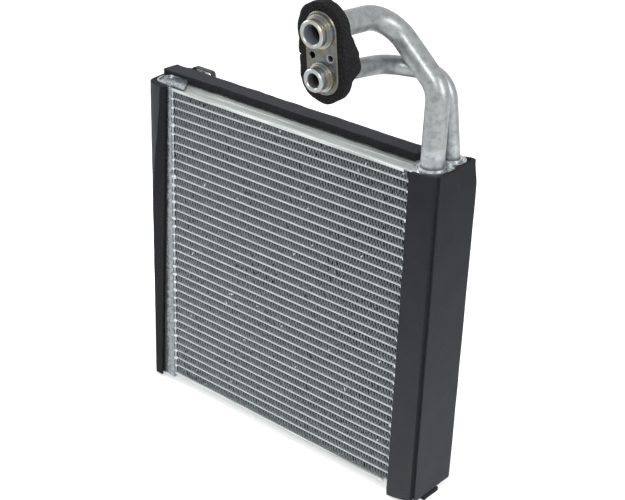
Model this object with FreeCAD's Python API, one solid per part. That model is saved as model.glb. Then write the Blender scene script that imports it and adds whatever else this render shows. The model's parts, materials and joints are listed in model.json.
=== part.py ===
import FreeCAD, Part
import os
from math import acos, cos, pi, radians, sin, tan

# Evaporator core of a vehicle air conditioner, upright as it sits in its housing.
# Frame: +Z up, +X along the flat tubes towards the pipe end, +Y to the back (the pipes' flange faces
# -Y). The origin is the middle of the lower foam strip's underside, where the core is carried. Millimetres.

V = FreeCAD.Vector

# Finned core
core_width = 222.8
core_depth = 38.0
tube_rows = 34
tube_pitch = 7.0
tube_thickness = 1.7
tube_depth = 16.4
tube_nose = 0.55
bank_spacing = 21.0
tube_insert = 4.0
fin_sheet = 0.35
fin_legs = 42
fin_end_gap = 1.6

# Header tanks: two round-backed chambers side by side behind one slotted header plate
tank_radius = 10.25
tank_wall = 1.4
tank_centre_out = 9.5
tank_reach_down = 3.8
tank_reach_up = 1.9
header_sheet = 1.6
header_edge_round = 1.2
slot_clearance = 0.1
baffle_sheet = 1.5
baffle_clearance = 0.1
rows_below_baffle = 18
crossover_height = 22.0
crossover_width = 7.0
crossover_clearance = 2.0

# End caps
cap_sheet = 1.4
cap_spigot = 2.0
cap_clearance = 0.1
cap_panel_inset = 1.8
cap_panel_height = 0.7
rim_wall = 1.4
rim_height = 1.2
saucer_radius = 10.45
saucer_height = 1.6
saucer_dish = 0.9
saucer_lip = 0.7
collar_height = 1.1
collar_wall = 1.1
collar_foot = 0.5
bridge_reach = 9.6
bridge_width = 14.0
tab_front = 17.5
tab_width = 14.0
tab_reach = 11.4
tab_slant = 9.7
tab_root = 1.4
tab_clearance = 0.1
tab_sheet = 1.7
tab_slot_start = -5.6
tab_slot_length = 6.2
tab_slot_width = 1.6
tab_slot_depth = 1.4
tab_slot_back = 5.6
tab_bump_radius = 1.5
tab_bump_height = 0.4
tab_bump_x = 4.1
tab_bump_y = 3.5

# Side plates
plate_sheet = 1.0
plate_overhang = 0.8
plate_flange = 1.2
plate_end_gap = 0.2
rib_width = 1.6
rib_height = 0.5
rib_spacing = 8.0
rib_start = 8.5
rib_end = 7.0
tongue_inset = 3.0
tongue_length = 6.0

# Pipes
suction_radius = 8.0
liquid_radius = 6.35
pipe_wall = 1.2
pipe_bore_depth = 14.0
pipe_seat_depth = 1.4
pipe_fit = 0.05
# Corner points of the pipes: the first from the pipe's own tank axis at the tanks' top, the
# second from the middle between the two tank axes there, as is the flange's centre
suction_riser = (0.2, 0.0, 57.5)
suction_elbow = (-41.1, -14.5, 97.7)
suction_bends = (20.8, 23.7)
liquid_riser = (-7.6, -1.4, 60.8)
liquid_elbow = (-40.1, -14.0, 64.7)
liquid_bends = (22.9, 22.7)
flange_seat = 5.0

# Machined flange with two grooved stubs
flange_offset = (-41.7, -77.1, 84.6)
flange_yaw = -0.7
flange_pitch = -3.85
flange_roll = 3.0
flange_radius = 12.25
flange_thickness = 12.0
flange_edge = 0.6
port_spacing = 28.8
suction_stub_radius = 8.95
suction_stub_length = 8.4
suction_bore = 6.25
liquid_stub_radius = 7.55
liquid_stub_length = 9.1
liquid_bore = 4.6
stub_lip = 1.8
stub_groove = 2.3
stub_groove_depth = 1.25
stub_chamfer = 0.7
# Turned collars at a stub's foot, the wide one on the face: how far each stands out past the stub,
# and how high it reaches
collar_out = 1.8
collar_height = 1.3
neck_out = 0.9
neck_height = 2.7
screw_hole_radius = 2.1
screw_countersink = 0.4
screw_hole_depth = 10.0
screw_spacing = 14.0
screw_drop = 1.8

# Foam
foam_gap = 0.35
wrap_sheet = 4.8
wrap_foot = -3.7
wrap_over_tank = 1.3
wrap_rear_angle = 118.0
wrap_front_lead = 7.5
# Front edge of the wrap: how far it reaches past the tank's centre line at three heights, and how
# far the cut leans out of the front plane there
wrap_reach_low = -3.3
wrap_reach_middle = 2.7
wrap_reach_high = 6.4
wrap_middle_height = 153.7
wrap_cut_lean = 53.0
wrap_lip = 1.5
jacket_sheet = 2.8
jacket_side_out = 4.6
jacket_front_start = 0.9
jacket_corner = 3.5
jacket_low = -2.2
jacket_side_low = 1.5
jacket_over_tank = 0.5
jacket_rise = 2.7
jacket_fold_lead = 1.0
strip_width = 15.0
strip_clip_gap = 1.25
strip_sheet = 5.7
strip_left_end = 24.0
strip_right_end = 8.0
base_strip_width = 18.0
base_strip_offset = -0.4
base_strip_sheet = 4.6
base_strip_left = 6.0
base_strip_drop = 3.7
base_strip_ramp = 6.0
base_strip_bend = 1.0
seal_thickness = 5.3
seal_depth = 9.5
seal_setback = 0.6
seal_tail_reach = 8.5
seal_tail_top = 13.0
seal_tail_tip = -10.7
seal_tail_foot = -16.3

# Strap clip behind the top strip
clip_inset = 0.9
clip_edge = 5.0
clip_span = 21.0
clip_height = 8.3
clip_sheet = 0.8
clip_width = 4.5
clip_round = 3.0

# Places worked out from the sizes above
half_width = core_width / 2
half_depth = core_depth / 2
fin_height = tube_pitch - tube_thickness
fin_rows = tube_rows + 1
core_base = base_strip_sheet + rib_height + plate_sheet
core_top = core_base + fin_rows * fin_height + tube_rows * tube_thickness
tank_bottom = core_base - tank_reach_down
tank_top = core_top + tank_reach_up
bank_y = bank_spacing / 2
tank_x = half_width + tank_centre_out
tank_back = tank_x + tank_radius
tank_side = bank_y + tank_radius
plate_depth = core_depth + 2 * plate_overhang
flange_top = core_top + plate_sheet + plate_flange
cap_top = tank_top + cap_sheet
ports = V(tank_x, 0, tank_top)
flange_centre = ports + V(*flange_offset)


def box(x0, x1, y0, y1, z0, z1):
    return Part.makeBox(x1 - x0, y1 - y0, z1 - z0, V(x0, y0, z0))


def tube_height(row):
    """Middle height of a flat tube, counted from the lowest row."""
    return core_base + fin_height + tube_thickness / 2 + row * tube_pitch


def face_of(edges):
    return Part.Face(Part.Wire(Part.__sortEdges__(edges)))


def line(a, b):
    return Part.makeLine(a, b)


def arc(a, middle, b):
    return Part.Arc(a, middle, b).toShape()


def polygon(points):
    return Part.Face(Part.makePolygon(list(points) + [points[0]]))


def upright_edges(shape):
    return [e for e in shape.Edges if abs(e.tangentAt(e.FirstParameter).z) > 0.9]


def mirrored(shape):
    """The same piece for the other end of the core."""
    return shape.mirror(V(0, 0, 0), V(1, 0, 0))


def group(shapes):
    return shapes[0] if len(shapes) == 1 else Part.makeCompound(shapes)


# Flat tubes: bars with bevelled noses in two banks, ending inside the header chambers
def flat_tube(bank, row):
    x = -half_width - tube_insert
    corners = []
    for y_side, z_side in ((-1, -1), (1, -1), (1, 1), (-1, 1)):
        flat = V(x, y_side * (tube_depth / 2 - tube_nose), z_side * tube_thickness / 2)
        nose = V(x, y_side * tube_depth / 2, z_side * (tube_thickness / 2 - tube_nose))
        corners += [nose, flat] if y_side * z_side > 0 else [flat, nose]
    tube = polygon(corners).extrude(V(core_width + 2 * tube_insert, 0, 0))
    tube.translate(V(0, bank * bank_y, tube_height(row)))
    return tube


def tube_bank(bank):
    return group([flat_tube(bank, row) for row in range(tube_rows)])


# Fins: one folded strip in each space, its folds resting on the tubes or the side plates
def fin_strip(row):
    low = core_base + row * tube_pitch
    high = low + fin_height
    length = core_width - 2 * fin_end_gap
    step = length / fin_legs
    upper = []
    lower = []
    for fold in range(fin_legs + 1):
        x = -length / 2 + fold * step
        crest = fold % 2 == 1
        upper.append(V(x, -half_depth, high if crest else low + fin_sheet))
        lower.append(V(x, -half_depth, high - fin_sheet if crest else low))
    return polygon(upper + lower[::-1]).extrude(V(0, core_depth, 0))


def fins():
    return group([fin_strip(row) for row in range(fin_rows)])


# Header chambers
def chamber_face(bank, inset, x_plate, z):
    """Section of one chamber: a half round on the outside, closed by a flat on the core side."""
    y = bank * bank_y
    r = tank_radius - inset
    plate = -x_plate
    return face_of([
        line(V(plate, y - r, z), V(-tank_x, y - r, z)),
        arc(V(-tank_x, y - r, z), V(-tank_x - r, y, z), V(-tank_x, y + r, z)),
        line(V(-tank_x, y + r, z), V(plate, y + r, z)),
        line(V(plate, y + r, z), V(plate, y - r, z)),
    ])


def chamber_prism(bank, inset, x_plate, z0, z1):
    return chamber_face(bank, inset, x_plate, z0).extrude(V(0, 0, z1 - z0))


def tank(crossover):
    """The two chambers of one end, joined by the wall between them."""
    x_plate = half_width + header_sheet
    shell = chamber_prism(-1, 0, x_plate, tank_bottom, tank_top)
    shell = shell.fuse(chamber_prism(1, 0, x_plate, tank_bottom, tank_top))
    web = box(-tank_x, -x_plate, -tank_wall, tank_wall, tank_bottom, tank_top)
    shell = shell.fuse(web).removeSplitter()
    for bank in (-1, 1):
        shell = shell.cut(chamber_prism(bank, tank_wall, x_plate - 1, tank_bottom - 1, tank_top + 1))
    if crossover:
        low = tank_bottom + cap_spigot + crossover_clearance
        mid = -tank_x + tank_wall
        window = box(mid, mid + crossover_width, -3 * tank_wall, 3 * tank_wall, low, low + crossover_height)
        shell = shell.cut(window)
    return shell


def header_plate():
    """Flat plate with a slot for each tube end."""
    plate = box(-half_width - header_sheet, -half_width, -tank_side, tank_side, tank_bottom, tank_top)
    corners = [e for e in upright_edges(plate) if e.CenterOfMass.x > -half_width - 0.1]
    plate = plate.makeFillet(header_edge_round, corners)
    reach = tube_depth / 2 + slot_clearance
    rise = tube_thickness / 2 + slot_clearance
    slots = []
    for row in range(tube_rows):
        z = tube_height(row)
        for bank in (-1, 1):
            y = bank * bank_y
            plate_side = -half_width - header_sheet - 1
            slot = box(plate_side, -half_width + 1, y - reach, y + reach, z - rise, z + rise)
            slots.append(slot)
    return plate.cut(Part.makeCompound(slots))


def baffle(bank):
    """Partition across one chamber, between two tube rows."""
    z = tube_height(rows_below_baffle) - tube_pitch / 2
    inset = tank_wall + baffle_clearance
    x_plate = half_width + header_sheet + baffle_clearance
    return chamber_prism(bank, inset, x_plate, z - baffle_sheet / 2, z + baffle_sheet / 2)


# End caps
def cap_blank(bank, z, direction):
    """Plate over one chamber's end, with a spigot that locates inside the wall."""
    x_plate = half_width + header_sheet
    plate = chamber_prism(bank, 0, half_width, z, z + direction * cap_sheet)
    inset = tank_wall + cap_clearance
    spigot = chamber_prism(bank, inset, x_plate + cap_clearance, z, z - direction * cap_spigot)
    return plate.fuse(spigot)


def bottom_cap(bank):
    """Lower cap, pressed out into a shallow panel."""
    blank = cap_blank(bank, tank_bottom, -1)
    low = tank_bottom - cap_sheet
    panel = chamber_prism(bank, cap_panel_inset, half_width + cap_panel_inset, low, low - cap_panel_height)
    return blank.fuse(panel)


def rim(bank):
    """Raised wall along the outline of an upper cap."""
    top = cap_top + rim_height
    outer = chamber_prism(bank, 0, half_width, cap_top, top)
    return outer.cut(chamber_prism(bank, rim_wall, half_width + rim_wall, cap_top - 1, top + 1))


def rimmed_cap(bank):
    """Upper cap of the closed end."""
    return cap_blank(bank, tank_top, 1).fuse(rim(bank))


def tabbed_cap():
    """Front upper cap of the closed end, with a slotted tab that reaches over the side plate."""
    root = -tank_x + tab_root
    back = tab_width - tab_front
    low = flange_top + tab_clearance
    high = low + tab_sheet
    window = box(root, -half_width + 1, -tab_front, back, cap_top, cap_top + 2 * rim_height)
    cap = cap_blank(-1, tank_top, 1).fuse(rim(-1).cut(window))
    tip = -half_width + tab_reach
    tab = polygon([
        V(root, -tab_front, low), V(tip, -tab_front, low), V(tip - tab_slant, back, low), V(root, back, low),
    ]).extrude(V(0, 0, tab_sheet))
    slot_x = -half_width + tab_slot_start
    slot_y = back - tab_slot_back
    slot = box(slot_x, slot_x + tab_slot_length, slot_y - tab_slot_width, slot_y,
               high - tab_slot_depth, high + 1)
    middle = V(-half_width + tab_bump_x, tab_bump_y - tab_front, high)
    bump = Part.makeCone(tab_bump_radius, tab_bump_radius / 2, tab_bump_height, middle)
    return cap.fuse(tab).cut(slot).fuse(bump)


def port_cap(bank, pipe_radius, route):
    """Upper cap of the pipe end: a saucer that rises to a collar round the pipe."""
    blank = cap_blank(bank, tank_top, 1)
    near, far = sorted((bank * (bank_y - tank_radius), bank * bridge_width / 2))
    blank = blank.fuse(box(-tank_x - bridge_reach, -tank_x, near, far, tank_top, cap_top))
    collar = pipe_radius + collar_wall
    profile = polygon([
        V(0, 0, cap_top),
        V(saucer_radius, 0, cap_top),
        V(saucer_radius, 0, cap_top + saucer_height),
        V(saucer_radius - saucer_lip, 0, cap_top + saucer_height),
        V(collar + collar_foot, 0, cap_top + saucer_height - saucer_dish),
        V(collar, 0, cap_top + saucer_height + collar_height),
        V(0, 0, cap_top + saucer_height + collar_height),
    ])
    saucer = profile.revolve(V(0, 0, 0), V(0, 0, 1), 360)
    saucer.translate(V(-tank_x, bank * bank_y, 0))
    cap = mirrored(blank.fuse(saucer))
    along = (route[1] - route[0]).normalize()
    start = route[0] - along * 2 * cap_spigot
    hole = Part.makeCylinder(pipe_radius + pipe_fit, 9 * cap_spigot, start, along)
    return cap.cut(hole)


# Side plates
def side_plate_section(x0, x1, inset):
    depth = plate_depth - 2 * inset
    return box(x0, x1, -depth / 2, depth / 2, core_top, core_top + plate_sheet)


def side_plate():
    """Formed sheet over the outermost fins: flanged front and back, with lengthwise ribs."""
    left = -half_width + plate_end_gap
    right = half_width - plate_end_gap
    full = right - tongue_length
    plate = side_plate_section(left, full, 0)
    plate = plate.fuse(side_plate_section(full, right, tongue_inset))
    for side in (-1, 1):
        outer = side * plate_depth / 2
        inner = outer - side * plate_sheet
        y0, y1 = sorted((outer, inner))
        plate = plate.fuse(box(left, full, y0, y1, core_top, flange_top))
    for place in (-1, 0, 1):
        y = place * rib_spacing
        rib = box(-half_width + rib_start, half_width - rib_end, y - rib_width / 2, y + rib_width / 2,
                  core_top, core_top + plate_sheet + rib_height)
        plate = plate.fuse(rib)
    return plate.removeSplitter()


def lower_side_plate():
    return side_plate().mirror(V(0, 0, (core_base + core_top) / 2), V(0, 0, 1))


# Pipes: straight runs joined by round bends, taken along a route of corner points
def bend_data(a, b, c, radius):
    u = (a - b).normalize()
    w = (c - b).normalize()
    turn = pi - acos(max(-1.0, min(1.0, u.dot(w))))
    cut = radius * tan(turn / 2)
    centre = b + (u + w).normalize() * (radius / cos(turn / 2))
    return b + u * cut, b + w * cut, centre, u.cross(w).normalize(), turn


def pipe_solid(route, bends, section):
    """Carries a section that stands at the route's start along its runs and round its bends."""
    pieces = []
    start = route[0]
    for index, radius in enumerate(bends):
        a, b, c = route[index], route[index + 1], route[index + 2]
        first, last, centre, axis, turn = bend_data(a, b, c, radius)
        angle = -turn * 180 / pi
        pieces.append(section.extrude(first - start))
        section = section.translated(first - start)
        pieces.append(section.revolve(centre, axis, angle))
        section = section.rotated(centre, axis, angle)
        start = last
    pieces.append(section.extrude(route[-1] - start))
    whole = pieces[0]
    for piece in pieces[1:]:
        whole = whole.fuse(piece)
    return whole


def pipe(route, bends, r):
    """Round pipe, open at both ends; past its bore's end it is solid, where nothing shows or fits."""
    first = (route[0] - route[1]).normalize()
    last = (route[-1] - route[-2]).normalize()
    whole = pipe_solid(route, bends, Part.Face(Part.Wire(Part.makeCircle(r, route[0], first))))
    for end, away in ((route[0], first), (route[-1], last)):
        whole = whole.cut(Part.makeCylinder(r - pipe_wall, pipe_bore_depth + 1, end + away, -away))
    return whole


def flange_axes():
    """Outward normal of the flange's face, its width direction and its upward direction."""
    yaw, pitch, roll = radians(flange_yaw), radians(flange_pitch), radians(flange_roll)
    out = V(-sin(yaw), -cos(yaw), 0)
    width = V(cos(yaw), -sin(yaw), 0)
    up = V(0, 0, 1)
    out, up = out * cos(pitch) + up * sin(pitch), up * cos(pitch) - out * sin(pitch)
    width, up = width * cos(roll) + up * sin(roll), up * cos(roll) - width * sin(roll)
    return out, width, up


def placed_on_flange(shape):
    """Turns a piece modelled with its face on the XZ plane, facing -Y, to the flange's place."""
    out, width, up = flange_axes()
    matrix = FreeCAD.Matrix(
        width.x, -out.x, up.x, flange_centre.x,
        width.y, -out.y, up.y, flange_centre.y,
        width.z, -out.z, up.z, flange_centre.z,
        0, 0, 0, 1)
    placed = shape.copy()
    placed.Placement = FreeCAD.Placement(matrix).multiply(placed.Placement)
    return placed


def port_point(side, depth):
    """Point on a port's axis, this far behind the flange's face."""
    out, width, up = flange_axes()
    return flange_centre + up * (side * port_spacing / 2) - out * depth


def route_from(bank, riser, elbow, port):
    """Corner points of a pipe: it enters its tank through the cap's collar and ends in the flange."""
    axis = ports + V(0, bank * bank_y, 0)
    entry = axis + V(0, 0, cap_sheet + saucer_height)
    first = axis + V(*riser)
    foot = entry - (first - entry).normalize() * (pipe_seat_depth + saucer_height)
    return [foot, first, ports + V(*elbow), port_point(port, flange_thickness - flange_seat)]


def suction_route():
    return route_from(-1, suction_riser, suction_elbow, 1)


def liquid_route():
    return route_from(1, liquid_riser, liquid_elbow, -1)


# Flange
def stadium(r, spacing, y):
    half = spacing / 2
    return face_of([
        line(V(-r, y, -half), V(-r, y, half)),
        arc(V(-r, y, half), V(0, y, half + r), V(r, y, half)),
        line(V(r, y, half), V(r, y, -half)),
        arc(V(r, y, -half), V(0, y, -half - r), V(-r, y, -half)),
    ])


def stub(r, length, z):
    """Turned male stub with stepped collars at its foot and a seal groove behind its lip, pointing to -Y."""
    deep = r - stub_groove_depth
    lip = length - stub_lip
    profile = polygon([
        V(0, 0, 0),
        V(r + collar_out, 0, 0),
        V(r + collar_out, -collar_height, 0),
        V(r + neck_out, -collar_height, 0),
        V(r + neck_out, -neck_height, 0),
        V(r, -neck_height, 0),
        V(r, -(lip - stub_groove), 0),
        V(deep, -(lip - stub_groove), 0),
        V(deep, -lip, 0),
        V(r, -lip, 0),
        V(r, -(length - stub_chamfer), 0),
        V(r - stub_chamfer, -length, 0),
        V(0, -length, 0),
    ])
    turned = profile.revolve(V(0, 0, 0), V(0, 1, 0), 360)
    turned.translate(V(0, 0, z))
    return turned


def port_cut(length, bore, z):
    """Bore of one port, with the mouth's chamfer."""
    axis = V(0, 1, 0)
    through = Part.makeCylinder(bore, length + flange_thickness + 2, V(0, -length - 1, z), axis)
    mouth = Part.makeCone(bore + stub_chamfer, bore, stub_chamfer, V(0, -length, z), axis)
    return through.fuse(mouth)


def pipe_seat(route, pipe_radius):
    """Seat in the flange's back that takes a pipe's end, bored along the pipe's last run."""
    away = (route[-2] - route[-1]).normalize()
    return Part.makeCylinder(pipe_radius + pipe_fit, 3 * flange_seat, route[-1], away)


def flange():
    body = stadium(flange_radius, port_spacing, 0).extrude(V(0, flange_thickness, 0))
    rims = [e for e in body.Edges if abs(e.BoundBox.YMax - e.BoundBox.YMin) < 0.01]
    body = body.makeChamfer(flange_edge, rims)
    ports = (
        (suction_stub_radius, suction_stub_length, suction_bore, port_spacing / 2),
        (liquid_stub_radius, liquid_stub_length, liquid_bore, -port_spacing / 2),
    )
    for r, length, bore, z in ports:
        body = body.fuse(stub(r, length, z))
    for r, length, bore, z in ports:
        body = body.cut(port_cut(length, bore, z))
    for side in (-1, 1):
        mouth = V(side * screw_spacing / 2, 0, -screw_drop)
        body = body.cut(Part.makeCylinder(screw_hole_radius, screw_hole_depth, mouth, V(0, 1, 0)))
        wide = screw_hole_radius + screw_countersink
        body = body.cut(Part.makeCone(wide, screw_hole_radius, screw_countersink, mouth, V(0, 1, 0)))
    placed = placed_on_flange(body)
    for route, pipe_radius in ((suction_route(), suction_radius), (liquid_route(), liquid_radius)):
        placed = placed.cut(pipe_seat(route, pipe_radius))
    return placed


# Foam pieces
def ring_point(y, r, angle, z=0):
    return V(-tank_x + r * cos(radians(angle)), y + r * sin(radians(angle)), z)


def wrap_outline(r):
    """One face of the sheet round the closed end's tanks, from its front lead to its rear end."""
    front = V(-tank_x + wrap_front_lead, -bank_y - r, 0)
    corner = (270 + 180) / 2
    rear = (180 + wrap_rear_angle) / 2
    return [
        line(front, ring_point(-bank_y, r, 270)),
        arc(ring_point(-bank_y, r, 270), ring_point(-bank_y, r, corner), ring_point(-bank_y, r, 180)),
        line(ring_point(-bank_y, r, 180), ring_point(bank_y, r, 180)),
        arc(ring_point(bank_y, r, 180), ring_point(bank_y, r, rear), ring_point(bank_y, r, wrap_rear_angle)),
    ]


def wrap_cutter(z, reach, lean):
    """Section of what is trimmed off the front edge: past a thin lip the cut leans out by an angle."""
    far = 3 * tank_radius
    x = -tank_x + reach
    side = -tank_side - foam_gap
    corner = V(x, side - wrap_lip, z)
    outer = corner - V(cos(radians(lean)), sin(radians(lean)), 0) * far
    deep = side - 2 * far
    return Part.makePolygon([
        V(x, side + wrap_lip, z), corner, outer, V(outer.x, deep, z), V(x + far, deep, z),
        V(x + far, side + wrap_lip, z), V(x, side + wrap_lip, z),
    ])


def end_wrap():
    """Foam sheet round the closed end's tanks; its cut front edge slants forward towards the top."""
    r0 = tank_radius + foam_gap
    r1 = r0 + wrap_sheet
    ends = [
        line(V(-tank_x + wrap_front_lead, -bank_y - r0, 0), V(-tank_x + wrap_front_lead, -bank_y - r1, 0)),
        line(ring_point(bank_y, r0, wrap_rear_angle), ring_point(bank_y, r1, wrap_rear_angle)),
    ]
    wrap_top = tank_top + wrap_over_tank
    foam = face_of(wrap_outline(r0) + wrap_outline(r1) + ends).extrude(V(0, 0, wrap_top - wrap_foot))
    foam.translate(V(0, 0, wrap_foot))
    middle = wrap_foot + wrap_middle_height
    low_cut = wrap_cutter(wrap_foot - 1, wrap_reach_low, 0)
    middle_cut = wrap_cutter(middle, wrap_reach_middle, 0)
    high_cut = wrap_cutter(wrap_top + 1, wrap_reach_high, wrap_cut_lean)
    for pair in ((low_cut, middle_cut), (middle_cut, high_cut)):
        foam = foam.cut(Part.makeLoft(list(pair), True, True))
    return foam


def end_jacket():
    """Foam sheet folded round the front, side and back of the pipe end."""
    front = -tank_side - foam_gap
    side = tank_back + jacket_side_out - jacket_sheet
    start = half_width + jacket_front_start
    high = tank_top + jacket_over_tank
    outer = box(start, side + jacket_sheet, front - jacket_sheet, -front + jacket_sheet, wrap_foot,
                high + 2 * jacket_rise)
    corners = [e for e in upright_edges(outer) if e.CenterOfMass.x > side]
    outer = outer.makeFillet(jacket_corner, corners)
    foam = outer.cut(box(start - 1, side, front, -front, wrap_foot - 1, high + 3 * jacket_rise))
    fold = side + jacket_sheet - jacket_corner - jacket_fold_lead
    far = side + jacket_sheet + 1
    outline = polygon([
        V(start - 1, 2 * front, jacket_low),
        V(fold, 2 * front, jacket_side_low),
        V(far, 2 * front, jacket_side_low),
        V(far, 2 * front, high + jacket_rise),
        V(start - 1, 2 * front, high),
    ])
    return foam.common(outline.extrude(V(0, -4 * front, 0)))


def top_strip():
    """Foam strip along the top, hollowed underneath where it lies over the closed end's caps."""
    low = flange_top
    over_wrap = tank_top + wrap_over_tank + foam_gap
    over_rim = cap_top + rim_height + foam_gap
    right = half_width - strip_right_end
    front = half_depth - clip_edge - clip_width / 2 - strip_clip_gap - strip_width
    left = -half_width - strip_left_end
    strip = box(left, right, front, front + strip_width, low, low + strip_sheet)
    strip = strip.cut(box(left - 1, -tank_x, front - 1, front + strip_width + 1, low - 1, over_wrap))
    for bank in (-1, 1):
        strip = strip.cut(chamber_prism(bank, -foam_gap, half_width - foam_gap, low - 1, over_rim))
    between = tank_wall
    strip = strip.cut(box(-tank_x, -half_width + foam_gap, -between, between, low - 1, over_rim))
    tab_top = flange_top + tab_clearance + tab_sheet + foam_gap
    tab_back = tab_width - tab_front + foam_gap
    tab_end = -half_width + tab_reach - tab_slant * (1 - (tab_back - front) / tab_width) + foam_gap
    return strip.cut(box(-tank_x, tab_end, front - 1, tab_back, low - 1, tab_top))


def base_strip():
    """Foam strip under the lower side plate, led down under the pipe end's caps."""
    low = tank_bottom - cap_sheet - cap_panel_height - foam_gap
    front = base_strip_offset - base_strip_width / 2
    left = -half_width + base_strip_left
    drop = half_width - base_strip_bend
    bend = drop - base_strip_ramp
    end = tank_back + jacket_side_out
    side = polygon([
        V(left, front, 0), V(bend, front, 0), V(drop, front, -base_strip_drop),
        V(end, front, -base_strip_drop), V(end, front, low), V(drop, front, low),
        V(bend, front, base_strip_sheet), V(left, front, base_strip_sheet),
    ])
    return side.extrude(V(0, base_strip_width, 0))


def flange_seal():
    """Foam band round the flange, with a pointed flap that runs back beside the lower pipe."""
    inner = flange_radius + foam_gap
    band = stadium(inner + seal_thickness, port_spacing, seal_setback).extrude(V(0, seal_depth, 0))
    hole = stadium(inner, port_spacing, seal_setback - 1).extrude(V(0, seal_depth + 2, 0))
    rear = seal_setback + seal_depth
    tail = polygon([
        V(inner, rear, seal_tail_top),
        V(inner, rear + seal_tail_reach, seal_tail_tip),
        V(inner, rear, seal_tail_foot),
        V(inner, rear - seal_depth / 2, seal_tail_tip),
    ]).extrude(V(seal_thickness, 0, 0))
    return placed_on_flange(band.cut(hole).fuse(tail.cut(hole)))


def rounded_arch(x0, x1, y0, y1, z0, z1, radius):
    """Block with its two upper edges along Y rounded."""
    block = box(x0, x1, y0, y1, z0, z1)
    upper = [e for e in block.Edges
             if abs(e.tangentAt(e.FirstParameter).y) > 0.9 and e.CenterOfMass.z > (z0 + z1) / 2]
    return block.makeFillet(radius, upper)


def strap_clip():
    """Flat strap bent into an arch that stands on the upper side plate."""
    x = -half_width + clip_inset
    y = half_depth - clip_edge
    low = core_top + plate_sheet
    top = low + clip_height
    half = clip_span / 2
    inside = half - clip_sheet
    outer = rounded_arch(x - half, x + half, y - clip_width / 2, y + clip_width / 2, low, top, clip_round)
    inner = rounded_arch(x - inside, x + inside, y - clip_width, y + clip_width,
                         low - 1, top - clip_sheet, clip_round - clip_sheet)
    over_cap = box(x - half - 1, x, y - clip_width, y + clip_width, low - 1, cap_top)
    return outer.cut(inner).cut(over_cap)


def build():
    lower_caps = [bottom_cap(-1), bottom_cap(1)]
    parts = {
        "front_flat_tubes": tube_bank(-1),
        "rear_flat_tubes": tube_bank(1),
        "fin_strips": fins(),
        "left_header_plate": header_plate(),
        "right_header_plate": mirrored(header_plate()),
        "left_tank": tank(False),
        "right_tank": mirrored(tank(True)),
        "left_front_top_cap": tabbed_cap(),
        "left_rear_top_cap": rimmed_cap(1),
        "bottom_caps": group(lower_caps + [mirrored(cap) for cap in lower_caps]),
        "suction_port_cap": port_cap(-1, suction_radius, suction_route()),
        "liquid_port_cap": port_cap(1, liquid_radius, liquid_route()),
        "tank_baffles": group([mirrored(baffle(-1)), mirrored(baffle(1))]),
        "top_side_plate": side_plate(),
        "bottom_side_plate": lower_side_plate(),
        "suction_pipe": pipe(suction_route(), suction_bends, suction_radius),
        "liquid_pipe": pipe(liquid_route(), liquid_bends, liquid_radius),
        "port_flange": flange(),
        "left_end_foam": end_wrap(),
        "right_end_foam": end_jacket(),
        "top_foam_strip": top_strip(),
        "bottom_foam_strip": base_strip(),
        "flange_foam_seal": flange_seal(),
        "strap_clip": strap_clip(),
    }
    os.makedirs("parts", exist_ok=True)
    for name, shape in parts.items():
        shape.exportStep("parts/" + name + ".step")
        print(name, len(shape.Solids), "solids", "valid" if shape.isValid() else "INVALID",
              round(shape.Volume / 1000, 2), "cm3")


build()
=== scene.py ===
"""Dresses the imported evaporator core: fins, braze beads, foam seals, finishes, camera and studio."""

import json
import math
import random

import bmesh
import bpy
from bpy.props import FloatProperty, FloatVectorProperty, StringProperty
from mathutils import Matrix, Vector, noise


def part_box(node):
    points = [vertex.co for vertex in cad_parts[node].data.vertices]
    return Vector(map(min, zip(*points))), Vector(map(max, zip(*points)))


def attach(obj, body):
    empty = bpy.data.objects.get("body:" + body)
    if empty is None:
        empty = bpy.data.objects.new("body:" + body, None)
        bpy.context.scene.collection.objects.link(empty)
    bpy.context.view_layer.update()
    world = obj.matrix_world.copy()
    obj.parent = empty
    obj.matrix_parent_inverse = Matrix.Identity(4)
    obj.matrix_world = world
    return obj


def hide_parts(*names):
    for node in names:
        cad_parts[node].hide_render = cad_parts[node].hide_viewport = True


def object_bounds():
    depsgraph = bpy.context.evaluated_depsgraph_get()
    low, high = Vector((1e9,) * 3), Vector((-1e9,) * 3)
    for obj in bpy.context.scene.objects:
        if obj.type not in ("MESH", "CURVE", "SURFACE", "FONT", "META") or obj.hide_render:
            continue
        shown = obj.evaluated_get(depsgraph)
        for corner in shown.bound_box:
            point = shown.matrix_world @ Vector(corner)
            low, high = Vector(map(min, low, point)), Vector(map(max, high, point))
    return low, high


bl_info = {
    "name": "Evaporator core dressing",
    "version": (1, 0, 0),
    "blender": (4, 5, 0),
    "location": "View3D > Sidebar > Evaporator",
    "description": "Adds fins, beads, foam, finishes and a studio to a packed evaporator core",
    "category": "Object",
}

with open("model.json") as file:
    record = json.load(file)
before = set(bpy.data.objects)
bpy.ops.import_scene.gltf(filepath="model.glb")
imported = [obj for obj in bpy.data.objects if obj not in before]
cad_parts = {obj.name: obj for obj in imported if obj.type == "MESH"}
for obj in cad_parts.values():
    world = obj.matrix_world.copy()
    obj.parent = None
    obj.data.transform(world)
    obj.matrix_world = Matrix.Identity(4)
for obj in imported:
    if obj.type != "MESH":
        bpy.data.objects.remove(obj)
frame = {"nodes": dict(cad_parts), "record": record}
cad_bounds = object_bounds()
MM = 0.001

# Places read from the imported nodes, in metres
fin_low, fin_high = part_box("fin_strips")
tube_low, tube_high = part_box("front_flat_tubes")
wrap_low, wrap_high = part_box("left_end_foam")
jacket_low, jacket_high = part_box("right_end_foam")
strip_low, strip_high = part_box("top_foam_strip")
base_low, base_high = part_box("bottom_foam_strip")
left_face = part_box("left_header_plate")[1].x
right_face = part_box("right_header_plate")[0].x
tank_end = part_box("left_tank")[0].x
tank_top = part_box("right_tank")[1].z
mounts = {m["name"]: m for m in frame["record"]["mounts"]}

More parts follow.
